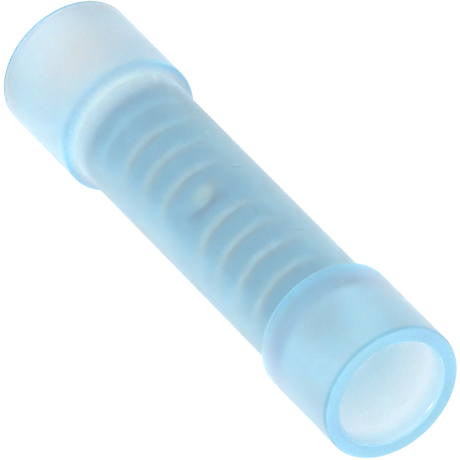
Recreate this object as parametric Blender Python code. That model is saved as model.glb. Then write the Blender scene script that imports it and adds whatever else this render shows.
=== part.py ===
"""Nylon-insulated butt splice connector for wire of 1.5 to 2.5 square millimetres.

A tin-plated copper crimp barrel lies in the waist of a moulded nylon sleeve.
A bell at each end of the sleeve takes the wire's insulation, and a funnel at the
bottom of the bell leads the bare strands into the barrel and keeps the barrel in place.

The connector stands on one rim, with its axis on +Z and its origin in the middle of that rim.
"""

import math

import bmesh
import bpy
from mathutils import Vector

# Crimp barrel, in metres
BARREL_LENGTH = 0.0146
BARREL_BORE_D = 0.0023
BARREL_WALL = 0.00085
BARREL_END_ROUND = 0.0003
BARREL_LEAD_IN = 0.00025

# Grooves rolled round the barrel, which stand out as ridges in its bore
GROOVE_PITCH = 0.00153
GROOVE_WIDTH = 0.0007
GROOVE_DEPTH = 0.00016
RIDGE_HEIGHT = 0.00008

# Least length of plain wall between the last groove's middle and the barrel's end
END_LAND = 0.001

# Wire stop, pressed into the middle of the barrel from the -Y side
STOP_WIDTH = 0.0018
STOP_LENGTH = 0.0014
STOP_DEPTH = 0.00045

# Nylon sleeve: a bell runs from its rim to the foot of its shoulder, where the waist starts
BELL_LENGTH = 0.00537
BELL_BORE_D = 0.0048
BELL_WALL = 0.0007
WAIST_WALL = 0.000575

# How far the waist runs on past each end of the barrel's seat
WAIST_OVERHANG = 0.00023

# The shoulder between waist and bell, and the roundings of the sleeve's edges
SHOULDER_RUN = 0.0003
SHOULDER_ROUND = 0.00018
SHOULDER_FILLET = 0.00015
RIM_OUTER_ROUND = 0.00012
RIM_INNER_ROUND = 0.0001

# Funnel from the bell's bore down to a throat that is a little wider than the barrel's bore
FUNNEL_HALF_ANGLE = math.radians(45.0)
FUNNEL_FILLET = 0.0003
THROAT_LENGTH = 0.0004
THROAT_STEP = 0.0001

# Room between the barrel and the seat that holds it, on every side
SEAT_CLEARANCE = 0.0001

# Mesh steps
SLEEVE_SEGMENTS = 48
BARREL_SEGMENTS = 40
FILLET_STEPS = 3
GROOVE_STEPS = 4
RIDGE_STEPS = 2
STOP_STEPS = 6
SHARP_ANGLE = math.radians(35.0)

# The most of a corner's shorter side that its rounding may take
FILLET_SHARE = 0.49

NYLON_COLOUR = (0.42, 0.70, 0.84)
TIN_COLOUR = (0.62, 0.63, 0.63)

# Sizes that follow from the ones above
BARREL_BORE_R = BARREL_BORE_D / 2
BARREL_OUTER_R = BARREL_BORE_R + BARREL_WALL
SEAT_R = BARREL_OUTER_R + SEAT_CLEARANCE
WAIST_R = SEAT_R + WAIST_WALL
BELL_BORE_R = BELL_BORE_D / 2
BELL_OUTER_R = BELL_BORE_R + BELL_WALL
THROAT_R = BARREL_BORE_R + THROAT_STEP
SEAT_HALF = BARREL_LENGTH / 2 + SEAT_CLEARANCE
WAIST_HALF = SEAT_HALF + WAIST_OVERHANG
SLEEVE_HALF = WAIST_HALF + BELL_LENGTH


def clear_scene():
    """Remove every object that the file opened with."""
    for item in list(bpy.data.objects):
        bpy.data.objects.remove(item, do_unlink=True)


def make_material(name, colour, roughness, metallic=0.0, transmission=0.0):
    """Return a Principled material."""
    material = bpy.data.materials.new(name)
    material.use_nodes = True
    shader = material.node_tree.nodes["Principled BSDF"]
    shader.inputs["Base Color"].default_value = (*colour, 1.0)
    shader.inputs["Roughness"].default_value = roughness
    shader.inputs["Metallic"].default_value = metallic
    shader.inputs["Transmission Weight"].default_value = transmission
    material.diffuse_color = (*colour, 1.0)
    return material


def fillet(before, corner, after, radius):
    """Return the points of an arc that rounds a corner, no larger than its two sides allow."""
    to_before = before - corner
    to_after = after - corner
    room = FILLET_SHARE * min(to_before.length, to_after.length)
    half_angle = to_before.angle(to_after) / 2
    reach = min(radius / math.tan(half_angle), room)
    to_before.normalize()
    to_after.normalize()
    centre = corner + (to_before + to_after).normalized() * (reach / math.cos(half_angle))
    spoke_start = corner + to_before * reach - centre
    spoke_end = corner + to_after * reach - centre
    arc_radius = spoke_start.length
    points = []
    for step in range(FILLET_STEPS + 1):
        spoke = spoke_start.normalized().slerp(spoke_end.normalized(), step / FILLET_STEPS)
        points.append(centre + spoke * arc_radius)
    return points


def rounded_outline(corners):
    """Return a closed outline from (radius, height, rounding) corners."""
    places = [Vector((radius, height)) for radius, height, _ in corners]
    outline = []
    for index, (_, _, rounding) in enumerate(corners):
        if rounding == 0:
            outline.append(places[index])
            continue
        after = places[(index + 1) % len(places)]
        outline.extend(fillet(places[index - 1], places[index], after, rounding))
    return outline


def revolve(name, outline, segments):
    """Return one closed mesh, turned about the Z axis from an outline of (radius, height) points."""
    form = bmesh.new()
    points = [form.verts.new((radius, 0.0, height)) for radius, height in outline]
    edges = [form.edges.new((points[index - 1], points[index])) for index in range(len(points))]
    bmesh.ops.spin(
        form,
        geom=points + edges,
        cent=(0.0, 0.0, 0.0),
        axis=(0.0, 0.0, 1.0),
        angle=math.tau,
        steps=segments,
        use_merge=True,
    )
    bmesh.ops.recalc_face_normals(form, faces=form.faces)
    mesh = bpy.data.meshes.new(name)
    form.to_mesh(mesh)
    form.free()
    return mesh


def add_piece(mesh, material):
    """Put a mesh that is centred on the origin into the scene, standing on the ground plane."""
    mesh.shade_smooth()
    mesh.set_sharp_from_angle(angle=SHARP_ANGLE)
    mesh.materials.append(material)
    piece = bpy.data.objects.new(mesh.name, mesh)
    piece.location.z = SLEEVE_HALF
    bpy.context.scene.collection.objects.link(piece)
    return piece


def sleeve_outline():
    """Outline of the sleeve's section: one end as a list of corners, and its mirror image."""
    funnel_low = SEAT_HALF + THROAT_LENGTH
    funnel_high = funnel_low + (BELL_BORE_R - THROAT_R) / math.tan(FUNNEL_HALF_ANGLE)
    end = [
        (WAIST_R, WAIST_HALF, SHOULDER_FILLET),
        (BELL_OUTER_R, WAIST_HALF + SHOULDER_RUN, SHOULDER_ROUND),
        (BELL_OUTER_R, SLEEVE_HALF, RIM_OUTER_ROUND),
        (BELL_BORE_R, SLEEVE_HALF, RIM_INNER_ROUND),
        (BELL_BORE_R, funnel_high, FUNNEL_FILLET),
        (THROAT_R, funnel_low, FUNNEL_FILLET),
        (THROAT_R, SEAT_HALF, 0),
        (SEAT_R, SEAT_HALF, 0),
    ]
    other_end = [(radius, -height, rounding) for radius, height, rounding in reversed(end)]
    return rounded_outline(end + other_end)


def groove_heights():
    """Heights of the grooves, as many each side of the wire stop as the barrel has room for."""
    each_side = int((BARREL_LENGTH / 2 - END_LAND) / GROOVE_PITCH)
    above = [GROOVE_PITCH * number for number in range(1, each_side + 1)]
    return [-height for height in reversed(above)] + above


def wall_points(wall_radius, dip, steps):
    """Corners up one wall of the barrel: a smooth dip at each groove, and a plain strip to press."""
    points = []
    for middle in groove_heights():
        for step in range(steps + 1):
            turn = 2 * step / steps - 1
            depth = dip * (1 + math.cos(math.pi * turn)) / 2
            points.append((wall_radius - depth, middle + turn * GROOVE_WIDTH / 2, 0))
    for step in range(STOP_STEPS + 1):
        points.append((wall_radius, (step / STOP_STEPS - 0.5) * STOP_LENGTH, 0))
    return sorted(points, key=lambda point: point[1])


def barrel_outline():
    """Outline of the barrel's section: up the outside, over the end and down the bore."""
    half = BARREL_LENGTH / 2
    outside = wall_points(BARREL_OUTER_R, GROOVE_DEPTH, GROOVE_STEPS)
    bore = wall_points(BARREL_BORE_R, RIDGE_HEIGHT, RIDGE_STEPS)
    top = [
        (BARREL_OUTER_R, half, BARREL_END_ROUND),
        (BARREL_BORE_R + BARREL_LEAD_IN, half, 0),
        (BARREL_BORE_R, half - BARREL_LEAD_IN, 0),
    ]
    bottom = [(radius, -height, rounding) for radius, height, rounding in reversed(top)]
    return rounded_outline(outside + top + bore[::-1] + bottom)


def press_wire_stop(mesh):
    """Push the -Y side of the barrel inward, both walls alike, as a round punch does."""
    for vertex in mesh.vertices:
        across = vertex.co.x / (STOP_WIDTH / 2)
        along = vertex.co.z / (STOP_LENGTH / 2)
        distance = math.hypot(across, along)
        if vertex.co.y < 0 and distance < 1:
            vertex.co.y += STOP_DEPTH * (1 + math.cos(math.pi * distance)) / 2


def make_nylon_sleeve():
    """One moulded tube with a bell at each end, a waist round the barrel and a funnel each way."""
    nylon = make_material("blue_nylon", NYLON_COLOUR, roughness=0.38, transmission=0.7)
    return add_piece(revolve("nylon_sleeve", sleeve_outline(), SLEEVE_SEGMENTS), nylon)


def make_crimp_barrel():
    """One copper tube with rolled grooves and a pressed wire stop, tin-plated all over."""
    tin = make_material("tin_plate", TIN_COLOUR, roughness=0.34, metallic=1.0)
    mesh = revolve("crimp_barrel", barrel_outline(), BARREL_SEGMENTS)
    press_wire_stop(mesh)
    return add_piece(mesh, tin)


clear_scene()
make_nylon_sleeve()
make_crimp_barrel()
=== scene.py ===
"""Looks of a nylon-insulated butt splice connector: frosted blue sleeve over a tin-plated barrel."""

import math
from types import SimpleNamespace

import bmesh
import bpy
from mathutils import Matrix, Vector


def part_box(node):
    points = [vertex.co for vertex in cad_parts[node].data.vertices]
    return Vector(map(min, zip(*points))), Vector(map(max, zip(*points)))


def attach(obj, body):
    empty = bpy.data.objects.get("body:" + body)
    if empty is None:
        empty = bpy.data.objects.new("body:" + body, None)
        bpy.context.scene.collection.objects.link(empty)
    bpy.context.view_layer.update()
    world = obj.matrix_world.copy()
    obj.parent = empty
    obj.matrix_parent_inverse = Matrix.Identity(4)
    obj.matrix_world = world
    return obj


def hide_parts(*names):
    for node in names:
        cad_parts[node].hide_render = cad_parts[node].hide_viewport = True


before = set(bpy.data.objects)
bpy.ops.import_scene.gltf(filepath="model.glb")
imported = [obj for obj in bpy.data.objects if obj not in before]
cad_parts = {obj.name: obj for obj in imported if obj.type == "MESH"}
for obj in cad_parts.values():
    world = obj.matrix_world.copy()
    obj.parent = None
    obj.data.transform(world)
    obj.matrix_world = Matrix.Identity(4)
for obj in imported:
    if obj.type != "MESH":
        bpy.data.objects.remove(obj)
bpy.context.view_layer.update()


# Sizes read from the frame, in metres
SLEEVE_LOW, SLEEVE_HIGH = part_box("nylon_sleeve")
BARREL_LOW, BARREL_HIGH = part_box("crimp_barrel")
BELL_R = (SLEEVE_HIGH.x - SLEEVE_LOW.x) / 2
SLEEVE_HALF = (SLEEVE_HIGH.z - SLEEVE_LOW.z) / 2
MIDDLE_Z = (SLEEVE_HIGH.z + SLEEVE_LOW.z) / 2
BARREL_R = (BARREL_HIGH.x - BARREL_LOW.x) / 2
BARREL_HALF = (BARREL_HIGH.z - BARREL_LOW.z) / 2

# Sizes of the section, the same as the part's own
BELL_WALL = 0.0007
BELL_LENGTH = 0.00537
WAIST_WALL = 0.000575
SEAT_CLEARANCE = 0.0001
SHOULDER_RUN = 0.0003
SHOULDER_ROUND = 0.00018
SHOULDER_FILLET = 0.00015
RIM_OUTER_ROUND = 0.00012
RIM_INNER_ROUND = 0.0001
BARREL_BORE_R = 0.00115
BARREL_END_ROUND = 0.0003
BARREL_LEAD_IN = 0.00025
THROAT_R = 0.00125
THROAT_LENGTH = 0.0004
FUNNEL_FILLET = 0.0003
GROOVE_PITCH = 0.00153
GROOVE_WIDTH = 0.0007
GROOVE_DEPTH = 0.00016
RIDGE_HEIGHT = 0.00008
GROOVES_EACH_SIDE = 4
STOP_WIDTH = 0.0018
STOP_LENGTH = 0.0014
STOP_DEPTH = 0.00045

# Sizes that follow from the ones above
BELL_BORE_R = BELL_R - BELL_WALL
SEAT_R = BARREL_R + SEAT_CLEARANCE
SEAT_HALF = BARREL_HALF + SEAT_CLEARANCE

# Mesh steps
SLEEVE_SEGMENTS = 192
BARREL_SEGMENTS = 160
FILLET_STEPS = 6
GROOVE_STEPS = 12
RIDGE_STEPS = 8
STOP_STEPS_FOR_EACH_GROOVE_STEP = 3
SHARP_ANGLE = math.radians(40.0)

# The most of a corner's shorter side that its rounding may take
FILLET_SHARE = 0.49

# Camera: the photograph's view, found by fitting the outline
PHOTO_SIZE = 460
VIEW_ANGLE = math.radians(46.57)
VIEW_ROLL = math.radians(-45.43)
CAMERA_REACH_PX = 14000.0
BELL_R_PX = 75.95
CENTRE_ALONG_PX = -4.55
CENTRE_ACROSS_PX = 0.5
SENSOR_MM = 36.0
CLIP_START = 0.01
CLIP_END = 10.0

# Noise textures: their shared settings, and the span that most of their values lie in
NOISE_DETAIL = 3.0
NOISE_ROUGHNESS = 0.55
NOISE_SPAN = (0.3, 0.7)

# The whole span of a mask
UNIT_SPAN = (0.0, 1.0)

# Blue nylon all over, with noise scales in cells for each metre
NYLON_PALE = (0.91, 0.955, 0.99)
NYLON_ROUGHNESS = 0.36
NYLON_ROUGHNESS_SPREAD = 0.03
NYLON_CORE_SMOOTHING = 0.16
NYLON_IOR = 1.4
NYLON_TRANSMISSION = 0.88
NYLON_SHEEN = 0.46
NYLON_SHEEN_ROUGHNESS = 0.4
NYLON_SHEEN_TINT = (0.80, 0.95, 1.0)
NYLON_SCATTER_RADIUS = (0.6, 0.85, 1.0)
NYLON_SCATTER_SCALE = 0.0007
NYLON_ABSORB_COLOUR = (0.29, 0.855, 0.968)
NYLON_ABSORB_DENSITY = 1050.0
NYLON_MOTTLE_SCALE = 700.0
NYLON_MOTTLE_DEPTH = 0.1
NYLON_GRAIN_SCALE = 10000.0
NYLON_GRAIN_HEIGHT = 0.000005
NYLON_FROST_SCALE = 6000.0
NYLON_FROST_DETAIL = 2.0
NYLON_FROST_MILK = 0.06
NYLON_FROST_DEPTH = 0.18
NYLON_FROST_INSIDE = 0.35

# Spans over which the nylon's zones come in or fade out, in metres. ALONG runs from the connector's
# middle, UP from the floor, OUT from the axis, ASIDE from the YZ plane either way and X along +X.
BORE_EDGE_OUT = (BELL_BORE_R + 0.00001, BELL_BORE_R + RIM_INNER_ROUND)
RIM_ALONG = (SLEEVE_HALF - 0.0010, SLEEVE_HALF - 0.0005)
RIM_EDGE_ALONG = (SLEEVE_HALF - 0.0003, SLEEVE_HALF - 0.0001)
BELL_ALONG = (SEAT_HALF, SEAT_HALF + 0.0008)
SEAT_END_ALONG = (SEAT_HALF - 0.00006, SEAT_HALF)
FUNNEL_ALONG = (0.0080, 0.0088)
WARM_ALONG = (0.0083, 0.0110)
LIP_ALONG = (0.0118, 0.0129)
BROW_OUT = (0.00278, 0.00300)
BROW_ALONG = (0.0081, 0.0083)
SHOULDER_ASIDE = (0.0021, 0.0029)
FLANK_ASIDE = (0.0018, 0.0030)
COLLAR_OUT = (0.0028, 0.0030)
COLLAR_ALONG = (0.0080, 0.0096)
COLLAR_UP = (MIDDLE_Z, MIDDLE_Z + 0.001)
COLLAR_X = (0.0, 0.0028)
CUFF_X = (0.0008, 0.0026)
# Painted arc of light on the waist just above the lower shoulder: where it starts and where it fades
LIGHT_ARC_START_UP = (0.0051, 0.00535)
LIGHT_ARC_FADE_UP = (0.00535, 0.0067)
LOW_EDGE_UP = (0.001, 0.002)

# Inside times outside is a quarter at the middle of the bore's rounding, so this brings it to 1
INNER_EDGE_GAIN = 4.0

# Marks: scratches as centre, direction, half length and half width; painted glints (white highlights,
# one at a small nick) as centre and reach
SCRATCH_DIRECTION = (-0.35, 0.38, 0.12)
SCRATCH_SOLID_SHARE = 0.6
SCRATCHES = [
    ((-0.00199, -0.00179, 0.01269), SCRATCH_DIRECTION, 0.0003, 0.00009),
    ((-0.00196, -0.00182, 0.01760), SCRATCH_DIRECTION, 0.0004, 0.00009),
]
GLINTS = [
    ((-0.00072, 0.00229, 0.02587), (0.0005, 0.0002, 0.00005)),
    ((-0.00219, -0.00154, 0.00557), (0.00012, 0.00012, 0.00018)),
    ((0.0025, -0.00183, 0.00464), (0.00012, 0.00012, 0.0001)),
]
# Painted highlight: a broad whitish veil on the lower bell, as centre and reach
PAINTED_HIGHLIGHT_PLACE = (-0.0008, -0.0030, 0.0029)
PAINTED_HIGHLIGHT_REACH = (0.0046, 0.0046, 0.0046)

# How milky each zone is: the share of its light that scatters instead of passing through
NYLON_MILK = {
    "bell": 0.08,
    "rim": 0.27,
    "mouth": 0.5,
    "inner_end": 0.3,
    "inner_edge": 0.16,
    "lip": -0.3,
    "shoulder_side": 0.2,
    "flank": 0.06,
    "collar": 0.22,
    "cuff": 0.12,
    # painted arc of light above the lower shoulder
    "painted_light_arc": 0.26,
    "low_edge": 0.3,
    # painted broad highlight on the lower bell, made milkier
    "painted_highlight": 0.15,
    "scratches": 0.5,
    # painted glints
    "glints": 0.6,
}

# How far each zone goes towards the deep blue, and the least that a rim's outer edge goes
NYLON_DEPTH = {"rim": 0.9, "lip": 0.4, "brow": 0.3}
NYLON_RIM_EDGE_DEPTH = 0.9

# Tints in the order in which they lie over one another: the zone, its share and the colour
NYLON_TINTS = [
    ("warm", 1.0, (1.0, 0.875, 0.87)),
    # painted broad highlight on the lower bell
    ("painted_highlight", 1.0, (0.96, 0.79, 0.75)),
    # painted arc of light above the lower shoulder
    ("painted_light_arc", 1.0, (0.94, 0.93, 0.86)),
    ("deep", 1.0, (0.41, 0.70, 0.82)),
    ("collar", 0.9, (0.38, 0.75, 0.89)),
    ("shoulder_side", 0.75, (0.38, 0.75, 0.89)),
    ("inner_edge", 1.0, (0.45, 0.78, 0.95)),
    ("cuff", 0.7, (0.72, 0.95, 1.0)),
    ("low_edge", 1.0, (0.12, 0.30, 0.45)),
    ("scratches", 0.9, (0.20, 0.38, 0.45)),
    # painted glints: white highlights
    ("glints", 1.0, (1.0, 1.0, 1.0)),
]

# Tin plate, coloured for the view through the nylon
TIN_DARK = (0.17, 0.49, 0.60)
TIN_PALE = (0.23, 0.55, 0.66)
# Painted highlight colour of the ring at each groove
TIN_RING_HIGHLIGHT = (0.75, 0.55, 0.51)
TIN_BRIGHT = (1.0, 0.60, 0.47)
TIN_SHADE = (0.0, 0.14, 0.34)
TIN_SHADE_DEPTH = 0.95
TIN_ROUGHNESS = 0.46
TIN_ROUGHNESS_SPREAD = 0.04
TIN_CLOUD_SCALE = 500.0
TIN_MARK_SCALE = 9000.0
TIN_MARK_STRETCH = (0.15, 0.15, 1.0)
TIN_MARK_HEIGHT = 0.000003

# Painted highlights, a ring at each groove: the part of the wave that shows, where they keep clear of
# the stop, and how strong they are at the -X side and at the lowest groove
RING_WAVE = (-0.2, 1.0)
RING_ALONG = (0.0006, 0.0009)
RING_X = (-0.0014, 0.0)
RING_SIDE_SHARE = 0.6
RING_UP = (0.0069, 0.0080)
RING_FIRST_SHARE = 0.3

# Light and shade on the wire stop
STOP_LIGHT_PLACE = (-0.0003, -0.0018, MIDDLE_Z - 0.0003)
STOP_LIGHT_REACH = (0.0012, 0.001, 0.0005)
STOP_SHADE_PLACE = (0.0, -0.0018, MIDDLE_Z + 0.00045)
STOP_SHADE_REACH = (0.0013, 0.001, 0.00055)

# Floor: grey and glow, with a painted shadow under the foot and glowing pools of light painted in front
# of it and beside it
FLOOR_HALF = 2.0
FLOOR_GREY = 0.05
FLOOR_GLOW = 0.98
FOOT_SHADOW_R = 0.0022
FOOT_SHADOW_GLOW = 0.45
APRON_PLACE = (0.0, -0.006, 0.0)
APRON_REACH = (0.006, 0.006, 0.006)
APRON_GLOW = 1.2
BESIDE_PLACE = (0.014, 0.001, 0.0)
BESIDE_REACH = (0.014, 0.014, 0.014)
BESIDE_GLOW = 0.8

# Sky: its strength at the horizon and high up
SKY_SPAN = (0.0, 0.9)
SKY_LOW = 0.7
SKY_HIGH = 1.5

# Soft lights: name, bearing and elevation in degrees, size in metres, and brightness
SOFTBOX_DISTANCE = 0.35
SOFTBOXES = [
    ("key", 45.0, 20.0, (2.0, 0.35), 0.8),
    ("side", 100.0, 15.0, (0.5, 0.35), 0.7),
    ("fill", -60.0, 15.0, (0.5, 0.35), 0.75),
    ("top", 0.0, 90.0, (0.3, 0.3), 0.8),
]


def fillet(before, corner, after, radius):
    """Return the points of an arc that rounds a corner, no larger than its two sides allow."""
    to_before = before - corner
    to_after = after - corner
    room = FILLET_SHARE * min(to_before.length, to_after.length)
    half_angle = to_before.angle(to_after) / 2
    reach = min(radius / math.tan(half_angle), room)
    to_before.normalize()
    to_after.normalize()
    centre = corner + (to_before + to_after).normalized() * (reach / math.cos(half_angle))
    spoke_start = corner + to_before * reach - centre
    spoke_end = corner + to_after * reach - centre
    arc_radius = spoke_start.length
    points = []
    for step in range(FILLET_STEPS + 1):
        spoke = spoke_start.normalized().slerp(spoke_end.normalized(), step / FILLET_STEPS)
        points.append(centre + spoke * arc_radius)
    return points


def rounded_outline(corners):
    """Return a closed outline from (radius, height, rounding) corners."""
    places = [Vector((radius, height)) for radius, height, _ in corners]
    outline = []
    for index, (_, _, rounding) in enumerate(corners):
        if rounding == 0:
            outline.append(places[index])
            continue
        after = places[(index + 1) % len(places)]
        outline.extend(fillet(places[index - 1], places[index], after, rounding))
    return outline


def revolve(name, outline, segments):
    """Return one closed mesh, turned about the Z axis from an outline of (radius, height) points."""
    form = bmesh.new()
    turns = [math.tau * step / segments for step in range(segments)]
    rings = []
    for radius, height in outline:
        places = [(radius * math.cos(turn), radius * math.sin(turn), height) for turn in turns]
        rings.append([form.verts.new(place) for place in places])
    for index, ring in enumerate(rings):
        last = rings[index - 1]
        for step in range(segments):
            form.faces.new((last[step - 1], last[step], ring[step], ring[step - 1]))
    bmesh.ops.recalc_face_normals(form, faces=form.faces)
    mesh = bpy.data.meshes.new(name)
    form.to_mesh(mesh)
    form.free()
    return mesh


def add_piece(mesh, node, material):
    """Put a mesh that is centred on the origin in place, as the visible form of a CAD node."""
    mesh.transform(Matrix.Translation((0.0, 0.0, MIDDLE_Z)))
    mesh.shade_smooth()
    mesh.set_sharp_from_angle(angle=SHARP_ANGLE)
    mesh.materials.append(material)
    piece = bpy.data.objects.new(mesh.name, mesh)
    bpy.context.scene.collection.objects.link(piece)
    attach(piece, "root")
    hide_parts(node)


def sleeve_outline():
    """Outline of the sleeve's section: one end as a list of corners, and its mirror image."""
    foot = SLEEVE_HALF - BELL_LENGTH
    funnel_low = SEAT_HALF + THROAT_LENGTH
    funnel_high = funnel_low + BELL_BORE_R - THROAT_R
    end = [
        (SEAT_R + WAIST_WALL, foot, SHOULDER_FILLET),
        (BELL_R, foot + SHOULDER_RUN, SHOULDER_ROUND),
        (BELL_R, SLEEVE_HALF, RIM_OUTER_ROUND),
        (BELL_BORE_R, SLEEVE_HALF, RIM_INNER_ROUND),
        (BELL_BORE_R, funnel_high, FUNNEL_FILLET),
        (THROAT_R, funnel_low, FUNNEL_FILLET),
        (THROAT_R, SEAT_HALF, 0),
        (SEAT_R, SEAT_HALF, 0),
    ]
    other_end = [(radius, -height, rounding) for radius, height, rounding in reversed(end)]
    return rounded_outline(end + other_end)


def wall_points(wall_radius, dip, steps):
    """Corners up one wall of the barrel: a smooth dip at each groove, and a strip for the stop."""
    points = []
    for number in range(-GROOVES_EACH_SIDE, GROOVES_EACH_SIDE + 1):
        if number == 0:
            continue
        for step in range(steps + 1):
            turn = 2 * step / steps - 1
            depth = dip * (1 + math.cos(math.pi * turn)) / 2
            points.append((wall_radius - depth, number * GROOVE_PITCH + turn * GROOVE_WIDTH / 2, 0))
    stop_steps = steps * STOP_STEPS_FOR_EACH_GROOVE_STEP
    for step in range(stop_steps + 1):
        points.append((wall_radius, (step / stop_steps - 0.5) * STOP_LENGTH, 0))
    return sorted(points, key=lambda point: point[1])


def barrel_outline():
    """Outline of the barrel's section: up the outside, over the end and down the bore."""
    outside = wall_points(BARREL_R, GROOVE_DEPTH, GROOVE_STEPS)
    bore = wall_points(BARREL_BORE_R, RIDGE_HEIGHT, RIDGE_STEPS)
    top = [
        (BARREL_R, BARREL_HALF, BARREL_END_ROUND),
        (BARREL_BORE_R + BARREL_LEAD_IN, BARREL_HALF, 0),
        (BARREL_BORE_R, BARREL_HALF - BARREL_LEAD_IN, 0),
    ]
    bottom = [(radius, -height, rounding) for radius, height, rounding in reversed(top)]
    return rounded_outline(outside + top + bore[::-1] + bottom)


def press_wire_stop(mesh):
    """Push the -Y side of the barrel inward, both walls alike, as a round punch does."""
    for vertex in mesh.vertices:
        distance = math.hypot(vertex.co.x / (STOP_WIDTH / 2), vertex.co.z / (STOP_LENGTH / 2))
        if vertex.co.y < 0 and distance < 1:
            vertex.co.y += STOP_DEPTH * (1 + math.cos(math.pi * distance)) / 2


def new_material(name):
    """Return a material, its node tree and its Principled shader."""
    material = bpy.data.materials.new(name)
    material.use_nodes = True
    tree = material.node_tree
    return material, tree, tree.nodes["Principled BSDF"]


def combine(tree, operation, first, second=None):
    """Return the result of a sum on one value or two, the second of which may be a plain number."""
    node = tree.nodes.new("ShaderNodeMath")
    node.operation = operation
    tree.links.new(first, node.inputs[0])
    if isinstance(second, float):
        node.inputs[1].default_value = second
    elif second is not None:
        tree.links.new(second, node.inputs[1])
    return node.outputs["Value"]


def chain(tree, operation, values):
    """Return several values joined one after another by the same sum."""
    result = values[0]
    for value in values[1:]:
        result = combine(tree, operation, result, value)
    return result


def product(tree, *values):
    """Return the product of several values."""
    return chain(tree, "MULTIPLY", values)


def weighted_sum(tree, zones, weights):
    """Return the sum of the zones that have a weight, each times its weight."""
    parts = [product(tree, zones[name], weight) for name, weight in weights.items()]
    return chain(tree, "ADD", parts)


def map_range(tree, value, span, low, high, smooth=False):
    """Return a value mapped from a span to the range from low to high, and held inside it."""
    node = tree.nodes.new("ShaderNodeMapRange")
    node.interpolation_type = "SMOOTHSTEP" if smooth else "LINEAR"
    node.inputs["From Min"].default_value = span[0]
    node.inputs["From Max"].default_value = span[1]
    node.inputs["To Min"].default_value = low
    node.inputs["To Max"].default_value = high
    tree.links.new(value, node.inputs["Value"])
    return node.outputs["Result"]


def rising(tree, value, span, smooth=False):
    """Return a mask that rises from 0 to 1 over a span."""
    return map_range(tree, value, span, 0.0, 1.0, smooth)


def falling(tree, value, span, smooth=False):
    """Return a mask that falls from 1 to 0 over a span."""
    return map_range(tree, value, span, 1.0, 0.0, smooth)


def spread(tree, texture, middle, reach):
    """Return a texture's value as a number that varies about a middle by a reach each way."""
    return map_range(tree, texture, NOISE_SPAN, middle - reach, middle + reach)


def noise(tree, place, scale, detail=NOISE_DETAIL):
    """Return the value of a noise texture whose scale is in cells for each metre."""
    node = tree.nodes.new("ShaderNodeTexNoise")
    node.inputs["Scale"].default_value = scale
    node.inputs["Detail"].default_value = detail
    node.inputs["Roughness"].default_value = NOISE_ROUGHNESS
    tree.links.new(place, node.inputs["Vector"])
    return node.outputs["Fac"]


def mix_colours(tree, factor, first, second):
    """Return a colour between two colours, the first of which may come from another node."""
    node = tree.nodes.new("ShaderNodeMix")
    node.data_type = "RGBA"
    tree.links.new(factor, node.inputs["Factor"])
    if isinstance(first, tuple):
        node.inputs["A"].default_value = (*first, 1.0)
    else:
        tree.links.new(first, node.inputs["A"])
    node.inputs["B"].default_value = (*second, 1.0)
    return node.outputs["Result"]


def vector_math(tree, operation, vector, other=None):
    """Return a vector operation's result: a number for a length or a dot product, else a vector."""
    node = tree.nodes.new("ShaderNodeVectorMath")
    node.operation = operation
    tree.links.new(vector, node.inputs[0])
    if other is not None:
        node.inputs[1].default_value = other
    return node.outputs["Value" if operation in ("LENGTH", "DOT_PRODUCT") else "Vector"]


def separate(tree, vector):
    """Return the outputs that hold a vector's X, Y and Z."""
    node = tree.nodes.new("ShaderNodeSeparateXYZ")
    tree.links.new(vector, node.inputs["Vector"])
    return node.outputs


def coordinates(tree):
    """Return a point's place on its piece, in metres, and the distances that zones are measured by."""
    place = tree.nodes.new("ShaderNodeTexCoord").outputs["Object"]
    axes = separate(tree, place)
    return SimpleNamespace(
        place=place,
        x=axes["X"],
        up=axes["Z"],
        aside=combine(tree, "ABSOLUTE", axes["X"]),
        along=combine(tree, "ABSOLUTE", combine(tree, "SUBTRACT", axes["Z"], MIDDLE_Z)),
        out=vector_math(tree, "LENGTH", vector_math(tree, "MULTIPLY", place, (1.0, 1.0, 0.0))),
    )


def facing_along_axis(tree):
    """Return how squarely each point's surface faces along the axis: 0 on the sides, 1 on a rim."""
    normal = tree.nodes.new("ShaderNodeTexCoord").outputs["Normal"]
    return combine(tree, "POWER", separate(tree, normal)["Z"], 2.0)


def soft_spot(tree, place, centre, reach):
    """Return a mask that is 1 at a centre and falls smoothly to 0 at its reach along each axis."""
    offset = vector_math(tree, "SUBTRACT", place, centre)
    scaled = vector_math(tree, "MULTIPLY", offset, [1 / size for size in reach])
    return falling(tree, vector_math(tree, "LENGTH", scaled), UNIT_SPAN, smooth=True)


def hairline(tree, place, centre, direction, half_length, half_width):
    """Return a mask that is 1 on a short straight scratch and 0 off it."""
    heading = Vector(direction).normalized()
    offset = vector_math(tree, "SUBTRACT", place, centre)
    ahead = combine(tree, "ABSOLUTE", vector_math(tree, "DOT_PRODUCT", offset, heading))
    aside = vector_math(tree, "LENGTH", vector_math(tree, "CROSS_PRODUCT", offset, heading))
    on_length = falling(tree, ahead, (half_length * SCRATCH_SOLID_SHARE, half_length))
    return product(tree, on_length, falling(tree, aside, (0.0, half_width)))


def bump(tree, shader, height, distance):
    """Roughen a shader's surface by a height, whose full range is a distance in metres."""
    node = tree.nodes.new("ShaderNodeBump")
    node.inputs["Distance"].default_value = distance
    node.inputs["Strength"].default_value = 1.0
    tree.links.new(height, node.inputs["Height"])
    tree.links.new(node.outputs["Normal"], shader.inputs["Normal"])


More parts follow.
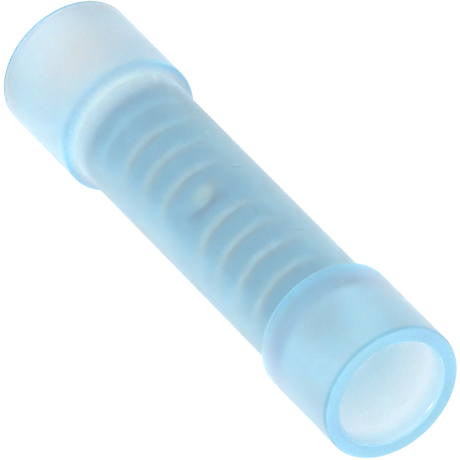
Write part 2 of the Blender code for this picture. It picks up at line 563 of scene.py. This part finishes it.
def nylon_surfaces(tree, at):
    """Zones of the sleeve's own surfaces: its outside and bores, bells, rims and inner ends."""
    outside = rising(tree, at.out, BORE_EDGE_OUT)
    inside = falling(tree, outside, UNIT_SPAN)
    on_rim = rising(tree, at.along, RIM_ALONG)
    bell = rising(tree, at.along, BELL_ALONG, smooth=True)
    past_seat = rising(tree, at.along, SEAT_END_ALONG)
    before_funnel = falling(tree, at.along, FUNNEL_ALONG)
    return {
        "outside": outside,
        "bell": bell,
        "rim": product(tree, facing_along_axis(tree), outside, on_rim),
        "mouth": product(tree, bell, inside),
        "warm": product(tree, inside, rising(tree, at.along, WARM_ALONG, smooth=True)),
        "lip": product(tree, inside, rising(tree, at.along, LIP_ALONG, smooth=True)),
        "inner_edge": product(tree, inside, outside, on_rim, INNER_EDGE_GAIN),
        "inner_end": product(tree, inside, past_seat, before_funnel),
    }


def nylon_shoulders(tree, at, outside, bell):
    """Zones round the shoulders, on the bells' sides and at the outer edge of each rim, with a painted
    arc of light above the lower shoulder.
    """
    brow = product(tree, rising(tree, at.out, BROW_OUT), falling(tree, at.along, BROW_ALONG))
    upper_ring = product(
        tree,
        falling(tree, at.along, COLLAR_ALONG, smooth=True),
        rising(tree, at.out, COLLAR_OUT),
        rising(tree, at.up, COLLAR_UP),
    )
    rim_edge = product(tree, outside, rising(tree, at.along, RIM_EDGE_ALONG))
    foot_start = rising(tree, at.up, LIGHT_ARC_START_UP)
    foot_fade = falling(tree, at.up, LIGHT_ARC_FADE_UP, smooth=True)
    return {
        "brow": brow,
        "shoulder_side": product(tree, brow, rising(tree, at.aside, SHOULDER_ASIDE, smooth=True)),
        "flank": product(tree, outside, bell, rising(tree, at.aside, FLANK_ASIDE, smooth=True)),
        "collar": product(tree, upper_ring, falling(tree, at.x, COLLAR_X)),
        "cuff": product(tree, upper_ring, rising(tree, at.x, CUFF_X)),
        "rim_edge": rim_edge,
        "low_edge": product(tree, rim_edge, falling(tree, at.up, LOW_EDGE_UP)),
        "painted_light_arc": product(tree, outside, foot_start, foot_fade),
    }


def nylon_marks_and_highlights(tree, at, outside, rim):
    """Zones of the sleeve's scratches and its painted highlights: glints and a broad whitish veil on the
    lower bell.
    """
    # Painted broad highlight, kept off the rims
    painted_highlight = soft_spot(tree, at.place, PAINTED_HIGHLIGHT_PLACE, PAINTED_HIGHLIGHT_REACH)
    scratches = [hairline(tree, at.place, *scratch) for scratch in SCRATCHES]
    # Painted glints: white highlights
    glints = [soft_spot(tree, at.place, *glint) for glint in GLINTS]
    return {
        "scratches": chain(tree, "MAXIMUM", scratches),
        "glints": chain(tree, "MAXIMUM", glints),
        "painted_highlight": product(tree, painted_highlight, combine(tree, "SUBTRACT", outside, rim)),
    }


def nylon_zones(tree, at):
    """All of the sleeve's zones by name, as masks from 0 to 1."""
    zones = nylon_surfaces(tree, at)
    zones.update(nylon_shoulders(tree, at, zones["outside"], zones["bell"]))
    zones.update(nylon_marks_and_highlights(tree, at, zones["outside"], zones["rim"]))
    return zones


def nylon_deepness(tree, zones, mottle, frost):
    """How far each point goes towards the deep blue, with a faint mottle and a frost."""
    speckle = product(tree, spread(tree, frost, 0.0, NYLON_FROST_DEPTH), zones["outside"])
    cloud = map_range(tree, mottle, NOISE_SPAN, 0.0, NYLON_MOTTLE_DEPTH)
    deep = chain(tree, "ADD", [weighted_sum(tree, zones, NYLON_DEPTH), cloud, speckle])
    edge = product(tree, zones["rim_edge"], NYLON_RIM_EDGE_DEPTH)
    return combine(tree, "MAXIMUM", deep, edge)


def nylon_colour(tree, zones):
    """The pale nylon under its tints, laid one over another."""
    colour = NYLON_PALE
    for name, share, tint in NYLON_TINTS:
        colour = mix_colours(tree, product(tree, zones[name], share), colour, tint)
    return colour


def nylon_clearness(tree, zones, frost):
    """The share of light that passes through: most over the barrel, less where the nylon is milky."""
    frost_share = map_range(tree, zones["outside"], UNIT_SPAN, NYLON_FROST_INSIDE, 1.0)
    speckle = product(tree, spread(tree, frost, 0.0, NYLON_FROST_MILK), frost_share)
    milk = combine(tree, "ADD", weighted_sum(tree, zones, NYLON_MILK), speckle)
    return map_range(tree, milk, UNIT_SPAN, NYLON_TRANSMISSION, 0.0)


def nylon_roughness(tree, zones, mottle):
    """An etched surface whose roughness varies a little, and which is smoother in the bores."""
    etched = spread(tree, mottle, NYLON_ROUGHNESS, NYLON_ROUGHNESS_SPREAD)
    smoother = product(tree, combine(tree, "SUBTRACT", zones["outside"], 1.0), NYLON_CORE_SMOOTHING)
    return combine(tree, "ADD", etched, smoother)


def nylon_material():
    """Frosted translucent blue nylon: clearest over the barrel, milkier in the bells and end on."""
    material, tree, shader = new_material("blue_nylon")
    at = coordinates(tree)
    mottle = noise(tree, at.place, NYLON_MOTTLE_SCALE)
    frost = noise(tree, at.place, NYLON_FROST_SCALE, NYLON_FROST_DETAIL)
    zones = nylon_zones(tree, at)
    zones["deep"] = nylon_deepness(tree, zones, mottle, frost)
    tree.links.new(nylon_colour(tree, zones), shader.inputs["Base Color"])
    tree.links.new(nylon_clearness(tree, zones, frost), shader.inputs["Transmission Weight"])
    tree.links.new(nylon_roughness(tree, zones, mottle), shader.inputs["Roughness"])
    shader.inputs["IOR"].default_value = NYLON_IOR
    shader.inputs["Sheen Weight"].default_value = NYLON_SHEEN
    shader.inputs["Sheen Roughness"].default_value = NYLON_SHEEN_ROUGHNESS
    shader.inputs["Sheen Tint"].default_value = (*NYLON_SHEEN_TINT, 1.0)
    shader.inputs["Subsurface Weight"].default_value = 1.0
    shader.inputs["Subsurface Radius"].default_value = NYLON_SCATTER_RADIUS
    shader.inputs["Subsurface Scale"].default_value = NYLON_SCATTER_SCALE
    bump(tree, shader, noise(tree, at.place, NYLON_GRAIN_SCALE), NYLON_GRAIN_HEIGHT)
    absorb = tree.nodes.new("ShaderNodeVolumeAbsorption")
    absorb.inputs["Color"].default_value = (*NYLON_ABSORB_COLOUR, 1.0)
    absorb.inputs["Density"].default_value = NYLON_ABSORB_DENSITY
    tree.links.new(absorb.outputs["Volume"], tree.nodes["Material Output"].inputs["Volume"])
    return material


def painted_ring_highlights(tree, at):
    """Mask of the highlight rings painted on the barrel's outside, one at each groove and none at the
    stop.
    """
    wave = combine(tree, "COSINE", product(tree, at.along, math.tau / GROOVE_PITCH))
    return product(
        tree,
        rising(tree, wave, RING_WAVE, smooth=True),
        rising(tree, at.along, RING_ALONG, smooth=True),
        rising(tree, at.out, (BARREL_BORE_R, BARREL_R - STOP_DEPTH)),
        map_range(tree, at.x, RING_X, RING_SIDE_SHARE, 1.0),
        map_range(tree, at.up, RING_UP, RING_FIRST_SHARE, 1.0),
    )


def tin_material():
    """Satin tin plate: turning marks, a painted highlight ring at each groove, painted light and shade
    on the stop.
    """
    material, tree, shader = new_material("tin_plate")
    at = coordinates(tree)
    shade = product(tree, soft_spot(tree, at.place, STOP_SHADE_PLACE, STOP_SHADE_REACH), TIN_SHADE_DEPTH)
    light = soft_spot(tree, at.place, STOP_LIGHT_PLACE, STOP_LIGHT_REACH)
    colour = mix_colours(tree, noise(tree, at.place, TIN_CLOUD_SCALE), TIN_DARK, TIN_PALE)
    # Painted highlight: a light warm ring over each groove, weaker on the -X side and at the lowest
    # groove
    colour = mix_colours(tree, painted_ring_highlights(tree, at), colour, TIN_RING_HIGHLIGHT)
    colour = mix_colours(tree, shade, colour, TIN_SHADE)
    colour = mix_colours(tree, light, colour, TIN_BRIGHT)
    tree.links.new(colour, shader.inputs["Base Color"])
    shader.inputs["Metallic"].default_value = 1.0
    marks = noise(tree, vector_math(tree, "MULTIPLY", at.place, TIN_MARK_STRETCH), TIN_MARK_SCALE)
    tree.links.new(spread(tree, marks, TIN_ROUGHNESS, TIN_ROUGHNESS_SPREAD), shader.inputs["Roughness"])
    bump(tree, shader, marks, TIN_MARK_HEIGHT)
    return material


def make_sleeve():
    """The nylon sleeve: one moulded tube with a bell and a funnel at each end."""
    mesh = revolve("sleeve", sleeve_outline(), SLEEVE_SEGMENTS)
    add_piece(mesh, "nylon_sleeve", nylon_material())


def make_barrel():
    """The crimp barrel: one tube with rolled grooves and a pressed wire stop."""
    mesh = revolve("barrel", barrel_outline(), BARREL_SEGMENTS)
    press_wire_stop(mesh)
    add_piece(mesh, "crimp_barrel", tin_material())


def floor_material():
    """Plain white floor that glows, with a painted shadow under the connector and glowing pools of light
    painted before and beside it.
    """
    material, tree, shader = new_material("floor")
    shader.inputs["Base Color"].default_value = (FLOOR_GREY, FLOOR_GREY, FLOOR_GREY, 1.0)
    shader.inputs["Roughness"].default_value = 1.0
    shader.inputs["Specular IOR Level"].default_value = 0.0
    shader.inputs["Emission Color"].default_value = (1.0, 1.0, 1.0, 1.0)
    at = coordinates(tree)
    # Painted shadow under the foot, and glowing pools of light painted in front of it and beside it
    foot = map_range(tree, at.out, (FOOT_SHADOW_R, BELL_R), FOOT_SHADOW_GLOW, FLOOR_GLOW)
    apron = product(tree, soft_spot(tree, at.place, APRON_PLACE, APRON_REACH), APRON_GLOW)
    beside = product(tree, soft_spot(tree, at.place, BESIDE_PLACE, BESIDE_REACH), BESIDE_GLOW)
    tree.links.new(chain(tree, "ADD", [foot, apron, beside]), shader.inputs["Emission Strength"])
    return material


def make_floor():
    """A flat pale floor, wide enough for every view."""
    half = FLOOR_HALF
    mesh = bpy.data.meshes.new("floor")
    corners = [(-half, -half, 0), (half, -half, 0), (half, half, 0), (-half, half, 0)]
    mesh.from_pydata(corners, [], [(0, 1, 2, 3)])
    mesh.materials.append(floor_material())
    floor = bpy.data.objects.new("floor", mesh)
    bpy.context.scene.collection.objects.link(floor)


def make_softbox(name, bearing, elevation, size, brightness):
    """A soft light, as wide and tall as its size, that faces the connector from a bearing."""
    turn = math.radians(bearing)
    lift = math.radians(elevation)
    level = math.cos(lift)
    direction = Vector((math.sin(turn) * level, -math.cos(turn) * level, math.sin(lift)))
    data = bpy.data.lights.new(name, "AREA")
    data.shape = "RECTANGLE"
    data.size, data.size_y = size
    data.energy = brightness * math.pi * data.size * data.size_y
    light = bpy.data.objects.new(name, data)
    light.location = Vector((0.0, 0.0, MIDDLE_Z)) + direction * SOFTBOX_DISTANCE
    light.rotation_euler = direction.to_track_quat("Z", "Y").to_euler()
    bpy.context.scene.collection.objects.link(light)


def make_camera():
    """A long lens that looks at the upper rim, rolled so that the axis runs to the lower right."""
    back = Vector((0.0, -math.sin(VIEW_ANGLE), math.cos(VIEW_ANGLE)))
    axis = Vector((0.0, 0.0, 1.0))
    along = (axis - back * axis.dot(back)).normalized()
    across = back.cross(along)
    right = along * math.cos(VIEW_ROLL) - across * math.sin(VIEW_ROLL)
    up = along * math.sin(VIEW_ROLL) + across * math.cos(VIEW_ROLL)
    pixel = BELL_R / BELL_R_PX
    down_right = (right - up).normalized()
    up_right = (right + up).normalized()
    shift = (down_right * CENTRE_ALONG_PX + up_right * CENTRE_ACROSS_PX) * pixel
    data = bpy.data.cameras.new("camera")
    data.sensor_width = SENSOR_MM
    data.lens = CAMERA_REACH_PX / PHOTO_SIZE * SENSOR_MM
    data.clip_start = CLIP_START
    data.clip_end = CLIP_END
    camera = bpy.data.objects.new("camera", data)
    turn = Matrix((right, up, back)).transposed().to_4x4()
    place = Vector((0.0, 0.0, MIDDLE_Z)) + back * (CAMERA_REACH_PX * pixel) - shift
    camera.matrix_world = Matrix.Translation(place) @ turn
    bpy.context.scene.collection.objects.link(camera)
    bpy.context.scene.camera = camera


def make_world():
    """Even pale light from every side, a little brighter from above."""
    world = bpy.data.worlds.new("studio")
    world.use_nodes = True
    tree = world.node_tree
    direction = tree.nodes.new("ShaderNodeTexCoord").outputs["Generated"]
    strength = map_range(tree, separate(tree, direction)["Z"], SKY_SPAN, SKY_LOW, SKY_HIGH)
    tree.links.new(strength, tree.nodes["Background"].inputs["Strength"])
    tree.nodes["Background"].inputs["Color"].default_value = (1.0, 1.0, 1.0, 1.0)
    bpy.context.scene.world = world
    bpy.context.scene.view_settings.view_transform = "Standard"


make_sleeve()
make_barrel()
make_floor()
for softbox in SOFTBOXES:
    make_softbox(*softbox)
make_camera()
make_world()
